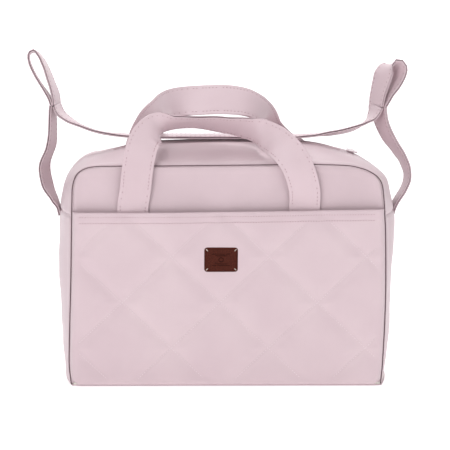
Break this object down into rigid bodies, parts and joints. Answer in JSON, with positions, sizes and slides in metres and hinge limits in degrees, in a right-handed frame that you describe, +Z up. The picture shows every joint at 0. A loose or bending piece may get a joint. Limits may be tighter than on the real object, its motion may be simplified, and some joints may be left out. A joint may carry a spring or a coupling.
{
  "type": "diaper bag",
  "caption": "Soft zip-top baby changing bag with a quilted front pocket, paired ribbon handles, a leather label and a long strap that ends in a pinched hanging loop at each side.",
  "frame": {"origin": "middle of the flat base between the front and back panels, on the surface the bag stands on", "axes": "+X to the right seen from the front, along the longest side; -Y is the front with the quilted pocket; +Z up"},
  "size_m": [0.4803, 0.1841, 0.4099],
  "materials": {
    "leatherette": "satin grained coated leatherette, pale pink",
    "quilted_leatherette": "satin leatherette, quilted in wide diamonds",
    "label_leather": "waxed brown leather",
    "label_thread": "waxed pale thread",
    "seam_thread": "matching polyester thread",
    "foam": "soft padding",
    "lining_cloth": "woven polyester",
    "binding": "elastic tape",
    "board": "stiff sheet",
    "zip_tape": "woven tape",
    "zip_teeth": "nylon coil",
    "zip_metal": "satin plated"
  },
  "bodies": {
    "bag": {"back_foam": "foam", "back_handle_foot_left": "leatherette", "back_handle_foot_right": "leatherette", "back_lining": "lining_cloth", "back_panel": "leatherette", "back_seam_strip": "leatherette", "base_board": "board", "bottom_foam": "foam", "bottom_lining": "lining_cloth", "bottom_panel": "leatherette", "front_foam": "foam", "front_handle_foot_left": "leatherette", "front_handle_foot_right": "leatherette", "front_lining": "lining_cloth", "front_panel": "leatherette", "front_seam_strip": "leatherette", "inner_pocket": "lining_cloth", "inner_pocket_binding": "binding", "label_patch": "label_leather", "label_stitches": "label_thread", "left_corner_gusset": "leatherette", "left_foam": "foam", "left_lining": "lining_cloth", "left_side_gusset": "leatherette", "left_zip_end": "zip_tape", "pocket_foam": "foam", "pocket_hem": "leatherette", "pocket_lining": "lining_cloth", "pocket_panel": "quilted_leatherette", "right_corner_gusset": "leatherette", "right_foam": "foam", "right_lining": "lining_cloth", "right_side_gusset": "leatherette", "right_zip_end": "zip_tape", "strap_drop_left": "leatherette", "strap_drop_right": "leatherette", "strap_tack_left": "seam_thread", "strap_tack_right": "seam_thread", "strap_top_run": "leatherette"},
    "front_handle": {"front_handle": "leatherette"},
    "back_handle": {"back_handle": "leatherette"},
    "front_flap": {"front_top_flap": "leatherette", "zip_tape_front": "zip_tape", "zip_teeth_front": "zip_teeth"},
    "back_flap": {"back_top_flap": "leatherette", "zip_tape_back": "zip_tape", "zip_teeth_back": "zip_teeth"},
    "slider": {"zip_slider": "zip_metal"},
    "pull": {"zip_pull": "zip_metal"},
    "left_loop": {"strap_loop_left": "leatherette"},
    "right_loop": {"strap_loop_right": "leatherette"}
  },
  "joints": [
    {"name": "front_handle_fold", "type": "hinge", "parent": "bag", "child": "front_handle", "pos_m": [-0.012, -0.0868, 0.223], "axis": [1, 0, 0], "range_deg": [0, 150]},
    {"name": "back_handle_fold", "type": "hinge", "parent": "bag", "child": "back_handle", "pos_m": [-0.012, 0.0868, 0.223], "axis": [1, 0, 0], "range_deg": [-150, 0]},
    {"name": "front_flap_fold", "type": "hinge", "parent": "bag", "child": "front_flap", "pos_m": [0, -0.0745, 0.2762], "axis": [1, 0, 0], "range_deg": [-85, 0]},
    {"name": "back_flap_fold", "type": "hinge", "parent": "bag", "child": "back_flap", "pos_m": [0, 0.0745, 0.2762], "axis": [1, 0, 0], "range_deg": [0, 85]},
    {"name": "zip_travel", "type": "hinge", "parent": "bag", "child": "slider", "pos_m": [0, 0, -0.57488], "axis": [0, 1, 0], "range_deg": [-20.88, 0]},
    {"name": "zip_pull_swing", "type": "hinge", "parent": "slider", "child": "pull", "pos_m": [0.15831, 0.0058, 0.28424], "axis": [0.9834, 0, -0.1812], "range_deg": [0, 50]},
    {"name": "left_loop_swing", "type": "hinge", "parent": "bag", "child": "left_loop", "pos_m": [-0.2155, 0, 0.342], "axis": [0, 1, 0], "range_deg": [-40, 15]},
    {"name": "right_loop_swing", "type": "hinge", "parent": "bag", "child": "right_loop", "pos_m": [0.19, 0, 0.342], "axis": [0, 1, 0], "range_deg": [-15, 40]}
  ]
}
